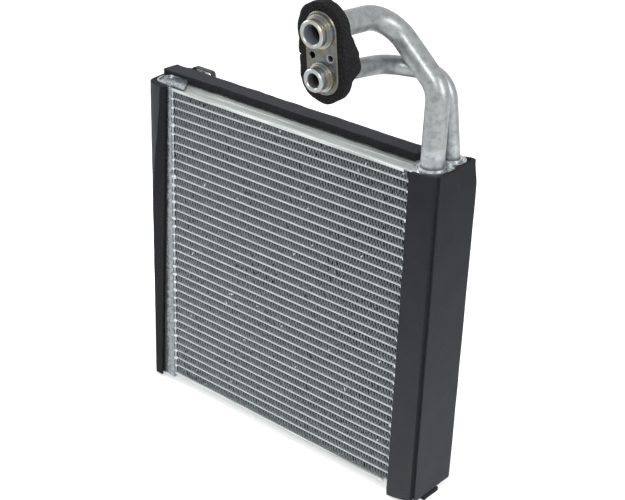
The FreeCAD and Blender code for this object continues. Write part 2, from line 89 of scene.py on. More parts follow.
# The core's rows
TUBE_ROWS = 34
TUBE_PITCH = 7.0 * MM
TUBE_THICKNESS = 1.7 * MM
FIN_HEIGHT = TUBE_PITCH - TUBE_THICKNESS
CORE_BASE = fin_low.z

# The closed end's two round chambers, seen from above: radius, and their centres' distance from the
# middle and place along the tubes
LOBE_RADIUS = 10.25 * MM
LOBE_Y = 10.5 * MM
LOBE_X = tank_end + LOBE_RADIUS

# Foam: its distance from the metal, and how far past the lobes' centres the wrap's front edge
# reaches at its foot, at its knee and at its top
FOAM_GAP = 0.4 * MM
EDGE_FOOT = -3.3 * MM
EDGE_KNEE = 2.7 * MM
EDGE_TOP = 6.4 * MM

# Finishes: how high the white flux reaches on the pipes, and zones of the flange. A zone has a mount,
# a reach from its axis, and the two places along it between which the zone fades in, in millimetres
FROST_TOP = 269.5 * MM
# The turned zone paints the stubs' rings paler: partly their turned finish, partly a painted highlight
TURNED_HIGHLIGHT_ZONE = (("suction_stub", 11.2, -3.45, -3.35), ("liquid_stub", 9.8, -3.45, -3.35))
# The bore zone is painted light on the walls of the bores and the right screw hole
LIT_BORE_ZONE = (("suction_stub", 6.4, -9.0, 4.6), ("liquid_stub", 4.75, -1.0, 9.5),
             ("right_screw_hole", 2.8, 1.5, 5.0))
# Painted shade and painted reflection of the dark foam on the tanks beside the wrap's front edge
FOAM_EDGE_SHADE = "232528"
FLUX_DARK, FLUX_PALE = "8F9596", "B4BABC"
MULTIPLY = {"data_type": "RGBA", "blend_type": "MULTIPLY"}

# Studio: the floor's half width, the paper's glow, what most lamps point at and their size
FLOOR_REACH = 4.0
PAPER_GLOW = 0.42
CORE_MIDDLE = (0, 0, 0.15)
LAMP_SIZE = 0.9


def srgb(code):
    """Linear colour of an sRGB hex value."""
    channels = [int(code[i : i + 2], 16) / 255 for i in (0, 2, 4)]
    linear = [c / 12.92 if c <= 0.04045 else ((c + 0.055) / 1.055) ** 2.4 for c in channels]
    return (*linear, 1.0)


# Settings


def number(name, description, default, unit="NONE"):
    return FloatProperty(name=name, description=description, default=default, unit=unit)


def length(name, description, millimetres):
    return number(name, description, millimetres * MM, "LENGTH")


def hue(name, description, code):
    return StringProperty(name=name, description=description, default=code)


class CoreSettings(bpy.types.PropertyGroup):
    """Sizes of the folded fins and the braze beads."""

    fold_pitch: length("Fold pitch", "Distance between two legs of a fin", 1.32)
    fin_sheet: length("Fin sheet", "Thickness of the fin stock", 0.12)
    fold_width: length("Fold width", "Flat of a fold that is brazed to a tube", 0.26)
    pairing: length("Pairing", "How far the two legs of a fold bulge towards each other", 0.24)
    edge_zone: length("Edge zone", "Depth of fin that handling bends", 1.8)
    unevenness: length("Unevenness", "How far a leg's edge strays", 0.2)
    knock: length("Knock", "How far a knocked leg leans over", 1.25)
    bead_size: length("Bead size", "Radius of a braze bead at a tube end", 1.5)


class FoamSettings(bpy.types.PropertyGroup):
    """Sizes of the foam seals."""

    cell: length("Mesh size", "Spacing of the points on a foam face", 2.4)
    lump: length("Lump", "How far a foam face strays from flat", 0.35)
    lump_size: length("Lump size", "Spacing of the lumps in a foam face", 14.0)
    ragged: length("Ragged edge", "How far a knife-cut edge strays", 0.8)


class FinishSettings(bpy.types.PropertyGroup):
    """Colours of the finishes, as sRGB hex values."""

    aluminium: hue("Brazed aluminium", "Tanks and header plates", "949B9D")
    cap: hue("Pressed caps", "Tank caps", "B4BBBE")
    collar: hue("Collars", "Dished caps round the pipes", "C2C9CC")
    plate: hue("Rolled plate", "Side plates", "D2D8D6")
    tube: hue("Tube", "Flat tubes", "C3C9CB")
    fin: hue("Fin", "Fin stock", "B4BABC")
    # Paler than the fin: painted glints on the bent corners
    bent: hue("Bent fin", "Bent corners of the fins", "DCE1E2")
    braze: hue("Braze alloy", "Beads at the tube ends", "D3DADD")
    fillet: hue("Fillet", "Alloy between the beads", "A5ACB2")
    pipe: hue("Pipe", "Drawn pipe", "8E9292")
    machined: hue("Machined", "Milled and turned faces", "5E5D54")
    skin: hue("Foam skin", "Moulded faces of the wraps", "3F4146")
    strip: hue("Strip skin", "Moulded faces of the strips", "333539")
    # The cut foam's dark tone is partly the cut faces' own and partly painted shade; the jacket's crease,
    # which is not cut, takes it as painted shade
    foam: hue("Cut foam", "Knife-cut faces of the foam", "1F2023")
    seal: hue("Seal foam", "Die-cut foam round the flange", "0E0E0F")
    nylon: hue("Clip", "Moulded clip", "1C1C1E")


class StudioSettings(bpy.types.PropertyGroup):
    """Camera and light."""

    eye: FloatVectorProperty(
        name="Camera place", description="Where the photograph was taken from",
        default=(0.5760, -0.6770, 0.5898), unit="LENGTH")
    azimuth: number("Azimuth", "Turn of the view to the left, in degrees", 39.68)
    elevation: number("Elevation", "Tilt of the view down, in degrees", 26.35)
    roll: number("Roll", "Turn of the view about its own line, in degrees", 2.13)
    lens: number("Lens", "Focal length on a 36 mm wide frame", 77.41)
    key: number("Overhead light", "Power of the lamp above", 15.0, "POWER")
    front: number("Front light", "Power of the lamp beside the camera", 9.5, "POWER")
    left: number("Left light", "Power of the lamp at the left", 15.0, "POWER")
    right: number("Right light", "Power of the lamp at the right", 12.0, "POWER")
    sky: number("Sky", "Strength of the light from all round", 0.5)


# Material tools


def add(tree, kind, inputs=None, stops=(), **settings):
    """Adds a shader node; settings are its own, and stops are a colour ramp's places and colours.

    An input is a value, a socket to link from, or a node whose first output is linked."""
    node = tree.nodes.new("ShaderNode" + kind)
    for name, value in settings.items():
        setattr(node, name, value)
    for name, value in (inputs or {}).items():
        if isinstance(value, bpy.types.Node):
            value = next(output for output in value.outputs if output.enabled)
        if isinstance(value, bpy.types.NodeSocket):
            tree.links.new(value, node.inputs[name])
        else:
            node.inputs[name].default_value = value
    if stops:
        elements = node.color_ramp.elements
        while len(elements) < len(stops):
            elements.new(0.5)
        for element, (position, colour) in zip(elements, stops):
            element.position = position
            element.color = colour
    return node


def material_from(look):
    """Turns a look, which gives a surface's inputs, into a function that makes a named material."""

    def made(name, *choices, **settings):
        material = bpy.data.materials.new(name)
        material.use_nodes = True
        tree = material.node_tree
        tree.nodes.clear()
        place = add(tree, "TexCoord").outputs["Object"]
        shader = add(tree, "BsdfPrincipled", look(tree, place, *choices, **settings))
        add(tree, "OutputMaterial", {"Surface": shader})
        return material

    return made


def shade(colour, factor):
    """A colour made darker or paler."""
    return tuple(c * factor for c in colour[:3]) + (1.0,)


def grey(level):
    return (level, level, level, 1.0)


def per_metre(size):
    """Noise scale that gives features of this size in millimetres."""
    return 1.0 / (size * MM)


def foam_edge_shade(tree, place):
    """Share of painted shade and painted reflection of the dark foam beside the wrap's front edge, wider
    towards the foot.
    """
    width_foot, width_top = 6.0 * MM, 1.6 * MM
    stray = 12.0 * MM
    fade_out, fade_in = 5.0 * MM, 7.4 * MM
    split = add(tree, "SeparateXYZ", {"Vector": place})
    fleck = add(tree, "TexNoise", {
        "Vector": place, "Scale": per_metre(2.4), "Detail": 5.0, "Roughness": 0.7})
    between = {"Value": split.outputs["Z"], "From Min": wrap_low.z, "From Max": wrap_high.z}
    edge = add(tree, "MapRange", {**between, "To Min": LOBE_X + EDGE_FOOT, "To Max": LOBE_X + EDGE_TOP})
    width = add(tree, "MapRange", {**between, "To Min": width_foot, "To Max": width_top})
    limit = add(tree, "Math", {0: edge, 1: width}, operation="ADD")
    inside = add(tree, "Math", {0: limit, 1: split.outputs["X"]}, operation="SUBTRACT")
    ragged = add(tree, "Math", {0: fleck, 1: stray, 2: inside}, operation="MULTIPLY_ADD")
    return add(tree, "MapRange", {
        "Value": ragged, "From Min": fade_out, "From Max": fade_in, "To Max": 0.85})


@material_from
def brazed_aluminium(tree, place, code, roughness=0.42, blotch=3.0, contrast=0.5, metallic=0.8,
                     streak=1.0, shaded_by_foam=False, relief=0.3):
    """Sheet from the brazing furnace: satin grey, with cloudy flux stains and a faint orange peel.

    Streak above 1 draws the stains out along the rolling direction, as on the side plates. A sheet shaded by
    the foam gets painted shade and a painted reflection of the dark foam along the front edge of the foam
    that is stuck on it."""
    colour = srgb(code)
    drawn = add(tree, "Mapping", {"Vector": place, "Scale": (1.0 / streak, 1.0, 1.0)})
    cloud = add(tree, "TexNoise", {
        "Vector": drawn, "Scale": per_metre(blotch), "Detail": 5.0, "Roughness": 0.62})
    speck = add(tree, "TexNoise", {"Vector": drawn, "Scale": per_metre(1.1), "Detail": 3.0})
    tone = add(tree, "ValToRGB", {"Fac": cloud}, [
        (0.32, shade(colour, 1 - contrast)), (0.55, colour), (0.72, shade(colour, 1 + contrast * 0.5))])
    fleck = add(tree, "ValToRGB", {"Fac": speck}, [(0.35, grey(0.9)), (0.6, grey(1.0))])
    tone = add(tree, "Mix", {"Factor": 1.0, "A": tone, "B": fleck}, **MULTIPLY)
    # Painted shade and painted reflection of the dark foam along the wrap's front edge
    if shaded_by_foam:
        tone = add(tree, "Mix", {"Factor": foam_edge_shade(tree, place), "A": tone, "B": srgb(FOAM_EDGE_SHADE)},
                   data_type="RGBA")
    rough = add(tree, "ValToRGB", {"Fac": cloud}, [
        (0.3, grey(roughness + 0.1)), (0.7, grey(roughness - 0.07))])
    bump = add(tree, "Bump", {"Height": speck, "Strength": relief, "Distance": 0.25 * MM})
    return {"Base Color": tone, "Metallic": metallic, "Roughness": rough, "Normal": bump}


@material_from
def fin_stock(tree, place, code):
    """Thin fin sheet with rows of louvres: a painted highlight at its front and rear edges, painted shade
    deeper in, and a tone that grows darker towards the top.
    """
    louvre_width = 1.1
    edge_shade_depth, edge_highlight_depth = 1.5 * MM, 0.1 * MM
    colour = srgb(code)
    split = add(tree, "SeparateXYZ", {"Vector": place})
    depth = add(tree, "Math", {0: split.outputs["Y"], 1: per_metre(louvre_width)}, operation="MULTIPLY")
    saw = add(tree, "Math", {0: depth, 1: 1.0}, operation="PINGPONG")
    spread = add(tree, "TexNoise", {"Vector": place, "Scale": per_metre(3.0), "Detail": 4.0})
    louvre = add(tree, "ValToRGB", {"Fac": saw}, [(0.3, grey(1.0)), (0.6, grey(0.72))])
    tone = add(tree, "ValToRGB", {"Fac": spread}, [
        (0.35, shade(colour, 0.78)), (0.65, shade(colour, 1.08))])
    # Darker towards the top of the core
    darker_towards_top = add(tree, "MapRange", {
        "Value": split.outputs["Z"], "From Min": fin_low.z, "From Max": fin_high.z, "To Min": 1.05,
        "To Max": 0.87})
    # Painted highlight on the fins' front and rear edges, and painted shade deeper in between the legs
    out = add(tree, "Math", {0: split.outputs["Y"]}, operation="ABSOLUTE")
    edge_highlight_and_shade = add(tree, "MapRange", {
        "Value": out, "From Min": fin_high.y - edge_shade_depth, "From Max": fin_high.y - edge_highlight_depth,
        "To Min": 0.16, "To Max": 1.3})
    for share, factor in ((0.6, louvre), (1.0, darker_towards_top), (1.0, edge_highlight_and_shade)):
        tone = add(tree, "Mix", {"Factor": share, "A": tone, "B": factor}, **MULTIPLY)
    return {"Base Color": tone, "Metallic": 0.5, "Roughness": 0.45}


@material_from
def drawn_pipe(tree, place, code):
    """Drawn pipe: satin, faintly streaked, and frosted by flux near the tank where it was brazed.

    A painted shadow darkens it where it enters its collar."""
    frost_stray = 7.0 * MM
    frost_out, frost_in = FROST_TOP + 4.2 * MM, FROST_TOP + 2.6 * MM
    foot_shadow_full, foot_shadow_clear = tank_top + 4.6 * MM, tank_top + 6.6 * MM
    colour = srgb(code)
    cloud = add(tree, "TexNoise", {
        "Vector": place, "Scale": per_metre(4.5), "Detail": 6.0, "Roughness": 0.6})
    grain = add(tree, "TexNoise", {"Vector": place, "Scale": per_metre(0.9), "Detail": 2.0})
    height = add(tree, "SeparateXYZ", {"Vector": place}).outputs["Z"]
    uneven = add(tree, "Math", {0: cloud, 1: frost_stray, 2: height}, operation="MULTIPLY_ADD")
    frost = add(tree, "MapRange", {
        "Value": uneven, "From Min": frost_out, "From Max": frost_in, "To Max": 0.6})
    tone = add(tree, "ValToRGB", {"Fac": cloud}, [
        (0.32, shade(colour, 0.74)), (0.5, colour), (0.7, shade(colour, 1.16))])
    white = add(tree, "ValToRGB", {"Fac": cloud}, [(0.36, srgb(FLUX_DARK)), (0.6, srgb(FLUX_PALE))])
    tone = add(tree, "Mix", {"Factor": frost, "A": tone, "B": white}, data_type="RGBA")
    # Painted shadow at the pipe's foot, where it enters its collar
    joint = add(tree, "MapRange", {
        "Value": height, "From Min": foot_shadow_full, "From Max": foot_shadow_clear, "To Min": 0.35})
    tone = add(tree, "Mix", {"Factor": 1.0, "A": tone, "B": joint}, **MULTIPLY)
    rough = add(tree, "MapRange", {"Value": frost, "To Min": 0.36, "To Max": 0.5})
    bump = add(tree, "Bump", {"Height": grain, "Strength": 0.35, "Distance": 0.2 * MM})
    return {"Base Color": tone, "Metallic": 0.72, "Roughness": rough, "Normal": bump}


def port_share(tree, place, mount, reach, low, high):
    """1 within reach of a mount's axis, falling to 0 from the high place on it to the low one."""
    start, axis = mounts[mount]["pos_m"], mounts[mount]["axis"]
    offset = add(tree, "VectorMath", {0: place, 1: start}, operation="SUBTRACT")
    across = add(tree, "VectorMath", {0: offset, 1: axis}, operation="CROSS_PRODUCT")
    away = add(tree, "VectorMath", {0: across}, operation="LENGTH")
    rise = add(tree, "VectorMath", {0: offset, 1: axis}, operation="DOT_PRODUCT")
    near = add(tree, "Math", {0: away, 1: reach}, operation="LESS_THAN")
    fall = add(tree, "MapRange", {"Value": rise, "From Min": low, "From Max": high})
    return add(tree, "Math", {0: near, 1: fall}, operation="MULTIPLY")


@material_from
def milled_aluminium(tree, place, code):
    """Milled block, dull as the cutter left it, with turned stubs whose paler rings are partly their turned
    finish and partly a painted highlight.

    The bores and the right screw hole are painted pale at the mouth, as painted light on their walls."""
    stretch = add(tree, "Mapping", {"Vector": place, "Scale": (0.25, 1.0, 1.0)})
    lines = add(tree, "TexNoise", {"Vector": stretch, "Scale": per_metre(0.5), "Detail": 2.0})
    cloud = add(tree, "TexNoise", {"Vector": place, "Scale": per_metre(7.0), "Detail": 3.0})
    tone = add(tree, "ValToRGB", {"Fac": cloud}, [
        (0.36, srgb("6E6A5C")), (0.5, srgb(code)), (0.64, srgb("686D6D"))])
    # Paler turned rings: partly the turned finish, partly a painted highlight
    turned_highlight = add(tree, "ValToRGB", {"Fac": cloud}, [(0.4, srgb("9E9A8E")), (0.55, srgb("9AA0A2"))])
    shares = []
    for zone in (TURNED_HIGHLIGHT_ZONE, LIT_BORE_ZONE):
        share = 0.0
        for mount, *sizes in zone:
            part = port_share(tree, place, mount, *(size * MM for size in sizes))
            share = add(tree, "Math", {0: share, 1: part}, operation="MAXIMUM")
        shares.append(share)
    turned, lit_bore = shares
    tone = add(tree, "Mix", {"Factor": turned, "A": tone, "B": turned_highlight}, data_type="RGBA")
    # Painted light on the walls of the bores and the right screw hole
    tone = add(tree, "Mix", {"Factor": lit_bore, "A": tone, "B": srgb("8E9BA4")}, data_type="RGBA")
    bump = add(tree, "Bump", {"Height": lines, "Strength": 0.3, "Distance": 0.12 * MM})
    metallic = add(tree, "MapRange", {"Value": lit_bore, "To Min": 1.0, "To Max": 0.4})
    rough = add(tree, "MapRange", {"Value": lit_bore, "To Min": 0.38, "To Max": 0.6})
    return {"Base Color": tone, "Metallic": metallic, "Roughness": rough, "Normal": bump}


@material_from
def closed_cell_foam(tree, place, code, cell=0.8, grit=1.6, speckle=1.0, fade=(1.0, 1.0)):
    """Closed-cell rubber foam: matte and finely grained, with a skin that is paler than a cut face, whose
    darker tone also serves as painted shade.

    Speckle above 1 shows the open cells as pale dots. The height shade is the share of the tone at the
    foot and at the top: painted shade that darkens the foam towards the top."""
    colour = srgb(code)
    cells = add(tree, "TexVoronoi", {"Vector": place, "Scale": per_metre(cell)})
    grain = add(tree, "TexNoise", {
        "Vector": place, "Scale": per_metre(grit), "Detail": 6.0, "Roughness": 0.7})
    patch = add(tree, "TexNoise", {"Vector": place, "Scale": per_metre(22.0), "Detail": 2.0})
    tone = add(tree, "ValToRGB", {"Fac": grain}, [
        (0.3, shade(colour, 1 - 0.38 * speckle)), (0.5, colour),
        (0.72 - 0.05 * speckle, shade(colour, 1 + 0.5 * speckle ** 2))])
    slow = add(tree, "ValToRGB", {"Fac": patch}, [(0.3, grey(0.86)), (0.7, grey(1.0))])
    height = add(tree, "SeparateXYZ", {"Vector": place}).outputs["Z"]
    # Painted shade: the tone falls from the foot to the top by the height shade
    top_shade = add(tree, "MapRange", {
        "Value": height, "From Max": tube_high.z, "To Min": fade[0], "To Max": fade[1]})
    for factor in (slow, top_shade):
        tone = add(tree, "Mix", {"Factor": 1.0, "A": tone, "B": factor}, **MULTIPLY)
    relief = add(tree, "Math", {0: cells, 1: grain}, operation="ADD")
    bump = add(tree, "Bump", {"Height": relief, "Strength": 0.3 * speckle, "Distance": 0.3 * MM})
    return {"Base Color": tone, "Roughness": 0.85, "Specular IOR Level": 0.18, "Normal": bump}


@material_from
def moulded_nylon(tree, place, code):
    """Black moulded nylon: a dull sheen over a fine spark-eroded grain."""
    grain = add(tree, "TexNoise", {"Vector": place, "Scale": per_metre(0.7), "Detail": 4.0})
    tone = add(tree, "ValToRGB", {"Fac": grain}, [
        (0.3, shade(srgb(code), 0.8)), (0.7, shade(srgb(code), 1.2))])
    bump = add(tree, "Bump", {"Height": grain, "Strength": 0.2, "Distance": 0.15 * MM})
    return {"Base Color": tone, "Roughness": 0.48, "Normal": bump}


# Mesh tools


def finished(bm, name, material, replaces=None, smooth=True, crease=38.0):
    """Makes the object of a finished mesh, gives it its finish and puts it on the root body."""
    for face in bm.faces:
        face.smooth = smooth
    mesh = bpy.data.meshes.new(name)
    bm.to_mesh(mesh)
    bm.free()
    if smooth:
        mesh.set_sharp_from_angle(angle=math.radians(crease))
    piece = bpy.data.objects.new(name, mesh)
    bpy.context.scene.collection.objects.link(piece)
    for finish in material if isinstance(material, tuple) else (material,):
        mesh.materials.append(finish)
    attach(piece, "root")
    if replaces:
        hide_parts(replaces)


def wander(place, size, seed=0.0):
    """Smooth noise between -1 and 1 at a place, with lumps of the given size."""
    return noise.noise(Vector(place) / size + Vector((seed, 1.7 * seed, -seed)))


def lumpy(bm, amount, size, seed):
    """Moves every point along its normal by smooth noise."""
    bm.normal_update()
    shifts = [(v, v.normal * amount * wander(v.co, size, seed)) for v in bm.verts]
    for vert, shift in shifts:
        vert.co += shift


def smoothstep(a, b, x):
    """0 up to a, 1 from b on, and a smooth rise between them."""
    t = min(1.0, max(0.0, (x - a) / (b - a)))
    return t * t * (3 - 2 * t)


def at_ends(share):
    """1 at both ends of a sheet, gone within a few centimetres."""
    return abs(2 * share - 1) ** 12


def drawn_on(bm, edges):
    """Extrudes a line of edges, and gives its new points and edges."""
    grown = bmesh.ops.extrude_edge_only(bm, edges=edges)["geom"]
    fresh = {g for g in grown if isinstance(g, bmesh.types.BMVert)}
    return fresh, [g for g in grown if isinstance(g, bmesh.types.BMEdge) and set(g.verts) <= fresh]


def lofted(columns, levels, place, cut_and_shaded_columns=()):
    """A closed tube: a ring of points is drawn on level by level to place(column, level).

    Its two ends are filled. They and the faces between the listed columns take the second finish: the
    dark foam of cut faces, which also serves as painted shade."""
    bm = bmesh.new()
    column = bm.verts.layers.int.new("column")
    for index, vert in enumerate(bmesh.ops.create_circle(bm, segments=columns, radius=1.0)["verts"]):
        vert[column] = index
        vert.co = place(index, 0)
    ring = bm.edges[:]
    bmesh.ops.contextual_create(bm, geom=ring)
    for level in range(1, levels + 1):
        fresh, ring = drawn_on(bm, ring)
        for vert in fresh:
            vert.co = place(vert[column], level)
    bmesh.ops.contextual_create(bm, geom=ring)
    for face in bm.faces:
        members = {vert[column] for vert in face.verts}
        face.material_index = 1 if cut_and_shaded_columns and (len(members) > 2 or members <= set(cut_and_shaded_columns)) else 0
    bmesh.ops.recalc_face_normals(bm, faces=bm.faces[:])
    return bm


def along(path, share):
    """Point of a polyline of Vectors at a share of its length."""
    lengths = [(b - a).length for a, b in zip(path, path[1:])]
    left = share * sum(lengths)
    for start, end, length in zip(path, path[1:], lengths):
        if left <= length:
            return start.lerp(end, left / length)
        left -= length
    return path[-1].copy()


def sampled(runs, counts):
    """Evenly spaced points of each run, as many as its count; a run's end is left to the next one."""
    return [along(run, step / count) for run, count in zip(runs, counts) for step in range(count)]


# Pieces


def fin_row(core, low, phase):
    """One folded strip: a zigzag front edge that is drawn back through the core in three steps."""
    bm = bmesh.new()
    length = fin_high.x - fin_low.x
    count = int(length / core.fold_pitch)
    pitch = length / count
    half = core.fold_width / 2
    bottom = low + core.fin_sheet
    top = low + FIN_HEIGHT - core.fin_sheet
    corners = []
    for fold in range(count):
        x = fin_low.x + (fold + 0.5 + phase) * pitch
        z, z_next = (top, bottom) if fold % 2 else (bottom, top)
        corners += [(x - half, z), (x + half, z), (x + pitch / 2, (z + z_next) / 2)]
    leg = bm.verts.layers.int.new("leg")
    verts = [bm.verts.new((x, fin_low.y, z)) for x, z in corners[:-1]]
    for index, vert in enumerate(verts):
        vert[leg] = index // 3 + 1 if index % 3 == 2 else 0
    edges = [bm.edges.new(pair) for pair in zip(verts, verts[1:])]
    depth = fin_high.y - fin_low.y
    for step in (core.edge_zone, depth - 2 * core.edge_zone, core.edge_zone):
        fresh, edges = drawn_on(bm, edges)
        bmesh.ops.translate(bm, verts=list(fresh), vec=(0, step, 0))
    return bm


def uneven_edges(bm, core, row):
    """Leans the legs' free edges a little, and knocks a few of them over."""
    edge = 0.1 * MM
    drop = 0.8 * MM
    leg = bm.verts.layers.int["leg"]
    for vert in bm.verts:
        if fin_low.y + edge < vert.co.y < fin_high.y - edge:
            continue
        place = Vector((vert.co.x, row * 0.31, 3.0 if vert.co.y > 0 else 0.0))
        lean = core.unevenness * wander(place, 1.1 * MM, 2.0 + row)
        if vert[leg]:
            bulge = 0.8 + 0.9 * wander((vert.co.x, row * 0.17, vert.co.y), 8 * MM, 13.0)
            lean += core.pairing * bulge * (1 if vert[leg] % 2 else -1)
            cluster = wander((vert.co.x, 0, vert.co.z * 1.4), 21 * MM, 7.0)
            single = wander(place, 2.6 * MM, 11.0 + row)
            knocked = smoothstep(0.28, 0.5, cluster * 0.5 + single * 0.75)
            lean += core.knock * knocked * (1 if single > 0 else -1)
            vert.co.z += drop * knocked * wander(place, 1.7 * MM, 5.0)
        vert.co.x += lean


def build_fins(core, material):
    """The folded strips, as a lower and an upper half."""
    rows = TUBE_ROWS + 1
    for name, members in (("lower_fins", range(rows // 2)), ("upper_fins", range(rows // 2, rows))):
        whole = bmesh.new()
        holder = bpy.data.meshes.new(name + "_row")
        for row in members:
            bm = fin_row(core, CORE_BASE + row * TUBE_PITCH, 0.35 * wander((row * 1.0, 0, 0), 0.73))
            uneven_edges(bm, core, row)
            bmesh.ops.solidify(bm, geom=bm.faces[:], thickness=core.fin_sheet)
            bm.to_mesh(holder)
            bm.free()
            whole.from_mesh(holder)
        bpy.data.meshes.remove(holder)
        finished(whole, name, material, replaces="fin_strips", smooth=False)


def build_bent_tips(core, material):
    """Corners of fin legs that handling has bent outwards, painted paler as painted glints where they catch
    the light.
    """
    front_tips, back_tips = 26, 16
    lift, twist = 55, 35
    curl = 0.3 * MM
    draw = random.Random(11)
    bm = bmesh.new()
    for side, count in ((-1, front_tips), (1, back_tips)):
        for _ in range(count):
            row = int((TUBE_ROWS + 1) * draw.random() ** 0.6)
            x = 0.96 * draw.uniform(fin_low.x, fin_high.x)
            z = CORE_BASE + row * TUBE_PITCH + FIN_HEIGHT * draw.uniform(0.25, 0.75)
            width = draw.uniform(0.6, 1.2) * MM
            length = draw.uniform(1.0, 2.4) * MM
            turn = draw.uniform(-twist, twist)
            shape = (Matrix.Translation((x, side * fin_high.y, z))
                     @ Matrix.Rotation(math.radians(-lift * side), 4, "X")
                     @ Matrix.Rotation(math.radians(turn), 4, "Z")
                     @ Matrix.Diagonal((width, length, 1.0, 1.0)))
            made = bmesh.ops.create_grid(bm, x_segments=1, y_segments=3, size=0.5, matrix=shape)["verts"]
            for vert in made:
                vert.co.y -= side * curl * (1 - ((vert.co.z - z) / length) ** 2)
    bmesh.ops.solidify(bm, geom=bm.faces[:], thickness=core.fin_sheet)
    finished(bm, "bent_fin_tips", material, smooth=False)


def build_beads(core, bead_material, fillet_material):
    """Braze alloy drawn up where each tube meets its header plate, and the fillet that joins the beads."""
    size = core.bead_size
    inset, lift = 1.1 * MM, 0.25 * MM
    places = ((left_face, 1), (right_face, -1))
    bm = bmesh.new()
    for row in range(TUBE_ROWS):
        z = CORE_BASE + FIN_HEIGHT + TUBE_THICKNESS / 2 + row * TUBE_PITCH
        for x, inward in places:
            for y in (tube_low.y, -tube_low.y):
                luck = wander((x * 7, y * 11, z * 9), 0.013, 3.0)
                grow = size * (0.95 + 0.5 * luck)
                shape = Matrix.Diagonal((grow * (1.3 + 0.5 * luck), grow * 0.8, grow * 0.95, 1.0))
                centre = Vector((x + inward * inset, y * 1.03, z + lift * luck))
                made = bmesh.ops.create_icosphere(
                    bm, subdivisions=2, radius=1.0, matrix=Matrix.Translation(centre) @ shape)
                for vert in made["verts"]:
                    away = (vert.co - centre).normalized()
                    vert.co += away * 0.35 * grow * wander(vert.co, 1.4 * MM, row * 1.0)
    finished(bm, "braze_beads", bead_material)
    low, high = fin_low.z, fin_high.z
    columns = 10
    levels = int((high - low) / (0.9 * MM))
    fillets = bmesh.new()
    holder = bpy.data.meshes.new("fillet_side")
    for x, inward in places:
        for side in (-1, 1):

            def place(column, level):
                z = low + (high - low) * level / levels
                turn = 2 * math.pi * column / columns
                swell = 1.0 + 0.35 * wander((x, side, z), 2.3 * MM, 4.0)
                swell += 0.2 * wander((x, side, z), 0.9 * MM, 8.0)
                across = 0.3 + 1.1 * swell * math.cos(turn)
                out = 0.05 + 0.75 * swell * math.sin(turn)
                return Vector((x + inward * across * MM, side * (-tube_low.y + out * MM), z))

            part = lofted(columns, levels, place)
            part.to_mesh(holder)
            part.free()
            fillets.from_mesh(holder)
    bpy.data.meshes.remove(holder)
    finished(fillets, "braze_fillets", fillet_material)


def on_circle(x, y, radius, angle):
    """Point on a level circle, at an angle in degrees."""
    turn = math.radians(angle)
    return Vector((x + radius * math.cos(turn), y + radius * math.sin(turn), 0))


def wrap_path(radius, start, rear):
    """Line round both lobes of the closed end, from an angle or a lead on the front to the rear angle."""
    path = []
    if isinstance(start, Vector):
        path.append(start)
        start = 270.0
    for y, first, last, steps in ((-LOBE_Y, start, 180, 18), (LOBE_Y, 180, rear, 16)):
        for step in range(steps + 1):
            path.append(on_circle(LOBE_X, y, radius, first + (last - first) * step / steps))
    return path


def leaving(corner, heading, radius):
    """Where a cut that starts at the corner leaves the sheet's outer face: a lead point or an angle."""
    front = -LOBE_Y - radius
    if heading.y < -0.05:
        x = corner.x + heading.x * (front - corner.y) / heading.y
        if x >= LOBE_X:
            return Vector((x, front, 0))
    offset = corner - Vector((LOBE_X, -LOBE_Y, 0))
    half = offset.dot(heading)
    run = -half + math.sqrt(half * half - offset.length_squared + radius * radius)
    spot = offset + heading * run
    return math.degrees(math.atan2(spot.y, spot.x)) % 360


def build_end_wrap(foam, material):
    """Sheet of foam bent round both lobes of the closed end.

    Its front edge slants forwards towards the top; above a knee the cut also leans, more and more."""
    inner = LOBE_RADIUS + FOAM_GAP
    outer = LOBE_X - wrap_low.x
    height = wrap_high.z - wrap_low.z
    rear_angle = 118.0
    lip = 1.5 * MM
    foot_rise = 3.0 * MM
    rise_start, rise_full = -14 * MM, -24 * MM
    knee = 153.7 * MM / height
    lean = math.radians(53.0)
    counts = (2, 4, 60, 4, 44)
    levels = 96

    def outline(z):
        share = (z - wrap_low.z) / height
        over = max(0.0, (share - knee) / (1 - knee))
        under = min(1.0, share / knee)
        reach = EDGE_FOOT + (EDGE_KNEE - EDGE_FOOT) * under + (EDGE_TOP - EDGE_KNEE) * over
        reach += 0.35 * MM * wander((0, 0, z), 9 * MM, 2.0) + 0.2 * MM * wander((0, 0, z), 2.5 * MM, 3.0)
        heading = -Vector((1 + (math.cos(lean) - 1) * over, math.sin(lean) * over, 0)).normalized()
        edge = Vector((LOBE_X + reach, -LOBE_Y - inner, 0))
        corner = edge - Vector((0, lip, 0))
        start = edge
        if reach < 0:
            start = 360 - math.degrees(math.acos(reach / inner))
        outside = wrap_path(outer, leaving(corner, heading, outer), rear_angle)
        inside = wrap_path(inner, start, rear_angle)
        return sampled((
            [inside[0], corner], [corner, outside[0]], outside, [outside[-1], inside[-1]], inside[::-1]),
            counts)

    outlines = [outline(wrap_low.z + height * level / levels) for level in range(levels + 1)]

    def place(column, level):
        share = level / levels
        point = outlines[level][column]
        stray = foam.ragged * at_ends(share) * wander((point.x, point.y, 0), 11 * MM, 4.0)
        stray += foot_rise * smoothstep(rise_start, rise_full, point.y) * (1 - share) ** 12
        return Vector((point.x, point.y, wrap_low.z + height * share + stray))

    bm = lofted(sum(counts), levels, place, range(sum(counts[:2]) + 1))
    lumpy(bm, foam.lump * 0.5, foam.lump_size, 1.0)
    finished(bm, "left_end_wrap", material, replaces="left_end_foam")


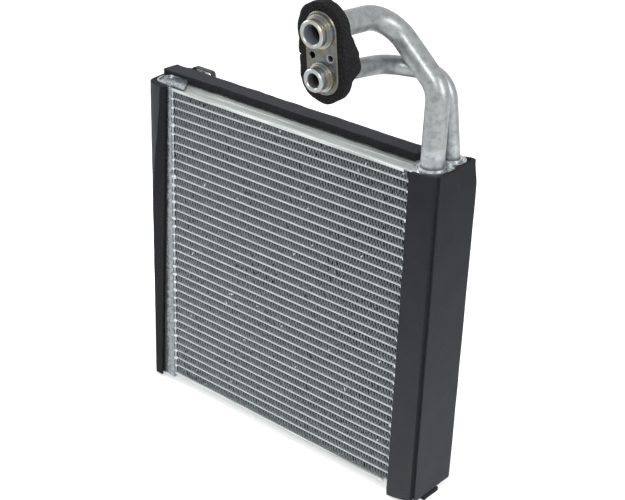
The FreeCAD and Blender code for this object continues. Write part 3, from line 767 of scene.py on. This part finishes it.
def build_jacket(foam, material):
    """Sheet of foam folded round the pipe end, creased where it turns the front corner, with painted shade
    on the crease.
    """
    sheet = 2.8 * MM
    corner = 3.5 * MM
    left, right = jacket_low.x, jacket_high.x
    front, back = jacket_low.y, jacket_high.y
    top_left, top_right = jacket_high.z - 2.7 * MM, jacket_high.z
    low_left, low_right = jacket_low.z, jacket_low.z + 3.7 * MM
    counts = (16, 14, 26, 6, 16, 3, 14, 4, 22, 4, 14, 3)
    fold = range(counts[0], counts[0] + counts[1])
    fold_centre = Vector((right - corner, front + corner, 0))
    crease_angle, crease_depth = 23, 1.5 * MM
    notch = 4.0 * MM
    slack_height, slack_side, slack_back = 18 * MM, 1.6 * MM, 1.2 * MM
    cut_zone, cut_stray = 1.5 * MM, 0.35 * MM
    levels = 96

    def sheet_line(inset):
        radius = corner - inset
        near, far = (
            [on_circle(right - corner, y, radius, start + 15 * step) for step in range(7)]
            for y, start in ((front + corner, 270), (back - corner, 0)))
        start, end = Vector((left, front + inset, 0)), Vector((left, back - inset, 0))
        return ([start, near[0]], near, [near[-1], far[0]], far, [far[-1], end])

    outside, inside = sheet_line(0.0), [run[::-1] for run in sheet_line(sheet)[::-1]]
    runs = (*outside, [outside[-1][-1], inside[0][0]], *inside, [inside[-1][-1], outside[0][0]])
    outline = sampled(runs, counts)

    def place(column, level):
        point = outline[column].copy()
        slope = smoothstep(left, right, point.x)
        top = top_left + (top_right - top_left) * slope
        low = low_left + (low_right - low_left) * slope
        share = level / levels
        stray = foam.ragged * 0.6 * at_ends(share) * wander((point.x, point.y, 0), 9 * MM, 6.0)
        z = low + share * (top - low)
        ray = point - fold_centre
        if column in fold and ray.length > 0:
            angle = abs(math.degrees(math.atan2(ray.y, ray.x)) + 45)
            wide = crease_angle + 5 * wander((0, 0, z), 30 * MM, 3.0) + 4 * wander((0, 0, z), 4 * MM, 5.0)
            wide += 5 * smoothstep(low + 50 * MM, low, z) + 3 * smoothstep(top - 40 * MM, top, z)
            sunk = smoothstep(wide, wide * 0.45, angle)
            point -= ray.normalized() * crease_depth * sunk
            z += notch * sunk * (1 - smoothstep(0.0, 0.02, share))
        slack = smoothstep(top - slack_height, top, z)
        if point.y > 0 and point.x > right - 2 * corner:
            point.x -= slack_side * slack
            point.y -= slack_back * slack
        if point.x < left + cut_zone:
            point.x += cut_stray * wander((point.y, 0, z), 3 * MM, 9.0)
        return Vector((point.x, point.y, z + stray))

    # The crease takes the dark cut-foam finish as painted shade
    bm = lofted(sum(counts), levels, place, fold[2:-1])
    lumpy(bm, foam.lump * 0.6, foam.lump_size * 1.6, 2.0)
    finished(bm, "right_end_jacket", material, replaces="right_end_foam")


def foam_bar(name, node, material, foam, low, high, top_at, low_at, wave, seed):
    """Strip of foam: its top face is drawn down to its underside, and its long edges wander."""
    trim = 0.2 * MM
    edge_round = 0.5 * MM
    columns = int((high.x - low.x) / foam.cell)

    def place(u, v):
        x = low.x + u * (high.x - low.x)
        side = 2 * v - 1
        spot = (x, side * 0.02, 0)
        edge = wave * wander(spot, 0.017, seed) + 0.3 * wave * wander(spot, 0.005, seed)
        y = low.y + v * (high.y - low.y) + side * edge - abs(side) * trim * side
        return Vector((x, y, top_at(x)))

    bm = bmesh.new()
    bmesh.ops.create_grid(bm, x_segments=columns, y_segments=6, size=0.5)
    for vert in bm.verts:
        vert.co = place(vert.co.x + 0.5, vert.co.y + 0.5)
    bmesh.ops.recalc_face_normals(bm, faces=bm.faces[:])
    for face in bm.faces:
        if face.normal.z < 0:
            face.normal_flip()
    shell = bmesh.ops.extrude_face_region(bm, geom=bm.faces[:])["geom"]
    for vert in (g for g in shell if isinstance(g, bmesh.types.BMVert)):
        vert.co.z = low_at(vert.co.x)
    bmesh.ops.recalc_face_normals(bm, faces=bm.faces[:])
    for face in bm.faces:
        # The strips' sides take the dark cut-foam finish: partly their own cut face, partly painted shade
        face.material_index = 0 if abs(face.normal.z) > 0.6 else 1
    rim = [e for e in bm.edges if len(e.link_faces) == 2 and e.calc_face_angle(0) > math.radians(60)]
    bmesh.ops.bevel(bm, geom=rim, offset=edge_round, segments=2, affect="EDGES", profile=0.5, material=-1)
    lumpy(bm, foam.lump * 0.7, foam.lump_size * 0.6, seed)
    finished(bm, name, material, replaces=node)


def build_strips(foam, material):
    """The strip over the core and the one under it, each led round the tanks' caps."""
    caps_left, caps_right = LOBE_X - LOBE_RADIUS - FOAM_GAP, left_face + 3 * MM
    over_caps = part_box("left_rear_top_cap")[1].z + FOAM_GAP
    drop_start, drop_end = right_face - 7 * MM, right_face - 1 * MM
    drop_top = 5.0 * MM

    def top_low(x):
        """Underside of the strip: on the plate, hollowed over the caps, and on the wrap beyond them."""
        if x < caps_left:
            return wrap_high.z + FOAM_GAP
        return over_caps if x < caps_right else strip_low.z

    def drop(x):
        return smoothstep(drop_start, drop_end, x)

    foam_bar("top_strip", "top_foam_strip", material, foam, strip_low, strip_high,
             lambda x: strip_high.z, top_low, 0.9 * MM, 12.0)
    foam_bar("bottom_strip", "bottom_foam_strip", material, foam, base_low, base_high,
             lambda x: base_high.z - drop_top * drop(x), lambda x: base_low.z * drop(x), 0.4 * MM, 21.0)


def build_seal(material):
    """Band of foam round the flange, with a tongue that runs back beside the lower pipe."""
    centre = Vector(mounts["port_face"]["pos_m"])
    out = Vector(mounts["port_face"]["axis"]).normalized()
    up = Vector(mounts["suction_stub"]["pos_m"]) - Vector(mounts["liquid_stub"]["pos_m"])
    up = (up - out * up.dot(out)).normalized()
    width = up.cross(out)
    inner = 12.6 * MM
    thick = 5.3 * MM
    half = 14.4 * MM
    count = 150
    bend = math.pi * inner
    perimeter = 4 * half + 2 * bend
    flap_top, flap_tip, flap_foot, flap_reach = 13.0 * MM, -10.7 * MM, -16.3 * MM, 8.5 * MM
    joint, joint_half, joint_depth = -3.2 * MM, 0.45 * MM, 1.6 * MM
    front, band_rear = 0.7 * MM, 8.6 * MM

    def stadium(share):
        """Point on the flange's outline and the direction away from it."""
        run = share * perimeter
        if run < 2 * half:
            return Vector((inner, -half + run)), Vector((1, 0))
        run -= 2 * half
        if run < bend:
            away = Vector((math.cos(run / inner), math.sin(run / inner)))
            return away * inner + Vector((0, half)), away
        run -= bend
        if run < 2 * half:
            return Vector((-inner, half - run)), Vector((-1, 0))
        run -= 2 * half
        away = Vector((math.cos(math.pi + run / inner), math.sin(math.pi + run / inner)))
        return away * inner - Vector((0, half)), away

    def flap(flat):
        """How far the band runs back: a pointed flap at the right, lowest point forward."""
        if flat.x < 0:
            return 0.0
        rise = (flap_top - flat.y) / (flap_top - flap_tip)
        fall = (flat.y - flap_foot) / (flap_tip - flap_foot)
        return flap_reach * math.sin(0.5 * math.pi * min(1.0, max(0.0, min(rise, fall))))

    def place(column, level):
        share = level / count
        flat, away = stadium(share)
        stray = 0.12 * wander((share * 9, 0.0, 0.0), 0.4, 3.0)
        narrow = 0.12 * smoothstep(0, inner, flat.x) - 0.08 * smoothstep(0, -inner, flat.x)
        wall = thick * (1 - narrow + stray)
        if flat.x < 0 and abs(flat.y - joint) < joint_half:
            wall -= joint_depth
        rear = band_rear + flap(flat)
        middle = (front + rear) / 2
        around = ((0.0, front), (0.5, front), (0.94, front), (1.0, front + 0.5 * MM), (1.0, middle),
                  (1.0, rear - 0.4 * MM), (0.95, rear), (0.5, rear), (0.0, rear), (0.0, middle))
        out_share, depth = around[column]
        point = flat + away * wall * out_share
        return centre + width * point.x + up * point.y - out * depth

    bm = bmesh.new()
    rings = []
    for column in range(10):
        circle = bmesh.ops.create_circle(bm, segments=count, radius=1.0)["verts"]
        for level, vert in enumerate(circle):
            vert.co = place(column, level)
        rings.append([bm.edges.get(pair) for pair in zip(circle, circle[1:] + circle[:1])])
    for ring, following in zip(rings, rings[1:] + rings[:1]):
        bmesh.ops.bridge_loops(bm, edges=ring + following)
    bmesh.ops.recalc_face_normals(bm, faces=bm.faces[:])
    lumpy(bm, 0.3 * MM, 4.0 * MM, 5.0)
    lumpy(bm, 0.12 * MM, 1.3 * MM, 6.0)
    finished(bm, "flange_seal", material, replaces="flange_foam_seal", crease=60.0)


# Camera and studio


def aim_camera(studio):
    """Camera at the photograph's place, turned by azimuth, elevation and roll."""
    data = bpy.data.cameras.new("camera")
    camera = bpy.data.objects.new("camera", data)
    bpy.context.scene.collection.objects.link(camera)
    azimuth, elevation = math.radians(studio.azimuth), math.radians(studio.elevation)
    level = math.cos(elevation)
    back = Vector((math.sin(azimuth) * level, -math.cos(azimuth) * level, math.sin(elevation)))
    right = (-back).cross(Vector((0, 0, 1))).normalized()
    up = right.cross(-back)
    roll = math.radians(studio.roll)
    right, up = right * math.cos(roll) + up * math.sin(roll), up * math.cos(roll) - right * math.sin(roll)
    turn = Matrix((right, up, back)).transposed().to_4x4()
    camera.matrix_world = Matrix.Translation(studio.eye) @ turn
    data.sensor_width = 36.0
    data.lens = studio.lens
    data.clip_end = 20.0
    bpy.context.scene.camera = camera


def add_lamp(name, place, target, size, power):
    """Round area lamp that points at the target."""
    data = bpy.data.lights.new(name, "AREA")
    data.shape = "DISK"
    data.size = size
    data.energy = power
    lamp = bpy.data.objects.new(name, data)
    bpy.context.scene.collection.objects.link(lamp)
    aim = Vector(target) - Vector(place)
    lamp.matrix_world = Matrix.Translation(place) @ aim.to_track_quat("-Z", "Y").to_matrix().to_4x4()


def seen_by(tree, *rays):
    """1 for these rays, 0 for all others."""
    path = add(tree, "LightPath")
    share = 0.0
    for ray in rays:
        share = add(tree, "Math", {0: share, 1: path.outputs[f"Is {ray} Ray"]}, operation="MAXIMUM")
    return share


@material_from
def white_paper(tree, place):
    """Matte white paper that glows a little, for the camera and in what metal mirrors of it."""
    fibre = add(tree, "TexNoise", {"Vector": place, "Scale": per_metre(2.0)})
    tone = add(tree, "ValToRGB", {"Fac": fibre}, [(0.4, grey(0.9)), (0.6, grey(0.93))])
    glow = add(tree, "Math", {0: seen_by(tree, "Camera", "Glossy"), 1: PAPER_GLOW}, operation="MULTIPLY")
    return {"Base Color": tone, "Roughness": 0.9, "Specular IOR Level": 0.0, "Emission Color": grey(1.0),
            "Emission Strength": glow}


def build_stage(studio):
    """White paper floor and a white surround that cameras and metal both see."""
    scene = bpy.context.scene
    scene.view_settings.view_transform = "Standard"
    bm = bmesh.new()
    bmesh.ops.create_grid(bm, x_segments=2, y_segments=2, size=FLOOR_REACH)
    bmesh.ops.translate(bm, verts=bm.verts[:], vec=(0, 0, cad_bounds[0][2]))
    mesh = bpy.data.meshes.new("floor")
    bm.to_mesh(mesh)
    bm.free()
    floor = bpy.data.objects.new("floor", mesh)
    scene.collection.objects.link(floor)
    mesh.materials.append(white_paper("white_paper"))
    world = bpy.data.worlds.new("studio")
    scene.world = world
    world.use_nodes = True
    tree = world.node_tree
    tree.nodes.clear()
    seen = seen_by(tree, "Camera", "Glossy", "Transmission")
    strength = add(tree, "MapRange", {"Value": seen, "To Min": studio.sky, "To Max": 1.0})
    sky = add(tree, "Background", {"Color": grey(1.0), "Strength": strength})
    add(tree, "OutputWorld", {"Surface": sky})
    add_lamp("overhead", (0.1, -0.35, 2.2), CORE_MIDDLE, LAMP_SIZE, studio.key)
    add_lamp("front", (0.9, -1.2, 1.15), (0.1, 0, 0.33), 0.5, studio.front)
    add_lamp("left", (-1.8, -0.35, 0.9), CORE_MIDDLE, LAMP_SIZE, studio.left)
    add_lamp("right", (1.7, 0.1, 0.8), CORE_MIDDLE, LAMP_SIZE, studio.right)


def finish_nodes(finish):
    """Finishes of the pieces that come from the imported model."""
    by_finish = {
        # The tanks carry painted shade beside the foam wrap's front edge
        brazed_aluminium("brazed_tank_aluminium", finish.aluminium, roughness=0.4, blotch=2.6, shaded_by_foam=True): (
            "left_header_plate", "right_header_plate", "left_tank", "right_tank", "tank_baffles"),
        brazed_aluminium("pressed_cap_aluminium", finish.cap, roughness=0.28, blotch=2.2, contrast=0.6): (
            "left_front_top_cap", "left_rear_top_cap", "bottom_caps"),
        brazed_aluminium("dished_collar_aluminium", finish.collar, roughness=0.26, contrast=0.45,
                         relief=0.2): ("suction_port_cap", "liquid_port_cap"),
        brazed_aluminium("rolled_plate_aluminium", finish.plate, roughness=0.45, blotch=1.3, contrast=0.48,
                         metallic=0.55, streak=40.0): ("top_side_plate", "bottom_side_plate"),
        brazed_aluminium("flat_tube_aluminium", finish.tube, roughness=0.5, blotch=15.0, contrast=0.08,
                         metallic=0.5): ("front_flat_tubes", "rear_flat_tubes"),
        drawn_pipe("drawn_pipe_aluminium", finish.pipe): ("suction_pipe", "liquid_pipe"),
        milled_aluminium("milled_aluminium", finish.machined): ("port_flange",),
        moulded_nylon("black_nylon", finish.nylon): ("strap_clip",),
    }
    for material, names in by_finish.items():
        for name in names:
            mesh = frame["nodes"][name].data
            mesh.materials.clear()
            mesh.materials.append(material)


# Operators


class EVAPORATOR_OT_camera(bpy.types.Operator):
    """Places the camera where the photograph was taken from"""

    bl_idname = "evaporator.camera"
    bl_label = "Camera"

    def execute(self, context):
        aim_camera(context.scene.evaporator_studio)
        return {"FINISHED"}


class EVAPORATOR_OT_stage(bpy.types.Operator):
    """Adds the paper floor, the white surround and the lamps"""

    bl_idname = "evaporator.stage"
    bl_label = "Stage"

    def execute(self, context):
        build_stage(context.scene.evaporator_studio)
        return {"FINISHED"}


class EVAPORATOR_OT_finishes(bpy.types.Operator):
    """Gives the tanks, caps, plates, tubes, pipes, flange and clip their finishes"""

    bl_idname = "evaporator.finishes"
    bl_label = "Metal finishes"

    def execute(self, context):
        finish_nodes(context.scene.evaporator_finish)
        return {"FINISHED"}


class EVAPORATOR_OT_fins(bpy.types.Operator):
    """Folds the fins between the flat tubes"""

    bl_idname = "evaporator.fins"
    bl_label = "Fins"

    def execute(self, context):
        core, finish = context.scene.evaporator_core, context.scene.evaporator_finish
        build_fins(core, fin_stock("fin_stock_aluminium", finish.fin))
        # The bent corners are painted paler, as painted glints
        build_bent_tips(core, brazed_aluminium(
            "bent_fin_aluminium", finish.bent, roughness=0.36, contrast=0.1, metallic=0.5))
        return {"FINISHED"}


class EVAPORATOR_OT_beads(bpy.types.Operator):
    """Adds the braze beads at the tube ends"""

    bl_idname = "evaporator.beads"
    bl_label = "Braze beads"

    def execute(self, context):
        finish = context.scene.evaporator_finish
        alloy = brazed_aluminium("braze_alloy", finish.braze, contrast=0.2, metallic=0.6)
        fillet = brazed_aluminium("braze_fillet_alloy", finish.fillet, blotch=2.0, contrast=0.3)
        build_beads(context.scene.evaporator_core, alloy, fillet)
        return {"FINISHED"}


class EVAPORATOR_OT_foam(bpy.types.Operator):
    """Wraps the ends, the top, the underside and the flange in foam"""

    bl_idname = "evaporator.foam"
    bl_label = "Foam seals"

    def execute(self, context):
        foam, finish = context.scene.evaporator_foam, context.scene.evaporator_finish
        skin = closed_cell_foam("foam_skin", finish.skin, speckle=0.5)
        # Dark foam for the cut faces, also laid on the jacket's crease as painted shade
        cut = closed_cell_foam("cut_foam", finish.foam, cell=1.1, speckle=0.8)
        # The jacket's skin gets painted shade that darkens it towards the top
        folded = closed_cell_foam("folded_foam_skin", finish.skin, speckle=0.45, fade=(0.93, 0.34))
        build_end_wrap(foam, (skin, cut))
        build_jacket(foam, (folded, cut))
        build_strips(foam, (closed_cell_foam("strip_foam_skin", finish.strip, speckle=0.5), cut))
        build_seal(closed_cell_foam("die_cut_foam", finish.seal, cell=1.1, grit=1.0, speckle=2.4))
        return {"FINISHED"}


class EVAPORATOR_PT_panel(bpy.types.Panel):
    """Lists the dressing steps"""

    bl_idname = "EVAPORATOR_PT_panel"
    bl_label = "Evaporator core"
    bl_space_type = "VIEW_3D"
    bl_region_type = "UI"
    bl_category = "Evaporator"

    def draw(self, context):
        for step in STEPS:
            self.layout.operator(step.bl_idname)


GROUPS = {
    "evaporator_core": CoreSettings,
    "evaporator_foam": FoamSettings,
    "evaporator_finish": FinishSettings,
    "evaporator_studio": StudioSettings,
}
STEPS = (
    EVAPORATOR_OT_camera,
    EVAPORATOR_OT_stage,
    EVAPORATOR_OT_finishes,
    EVAPORATOR_OT_fins,
    EVAPORATOR_OT_beads,
    EVAPORATOR_OT_foam,
)


def register():
    for name, group in GROUPS.items():
        bpy.utils.register_class(group)
        setattr(bpy.types.Scene, name, bpy.props.PointerProperty(type=group))
    for part in (*STEPS, EVAPORATOR_PT_panel):
        bpy.utils.register_class(part)


def unregister():
    for part in (EVAPORATOR_PT_panel, *reversed(STEPS)):
        bpy.utils.unregister_class(part)
    for name, group in reversed(GROUPS.items()):
        delattr(bpy.types.Scene, name)
        bpy.utils.unregister_class(group)


def main():
    register()
    for step in STEPS:
        family, call = step.bl_idname.split(".")
        getattr(getattr(bpy.ops, family), call)()


if __name__ == "__main__":
    main()
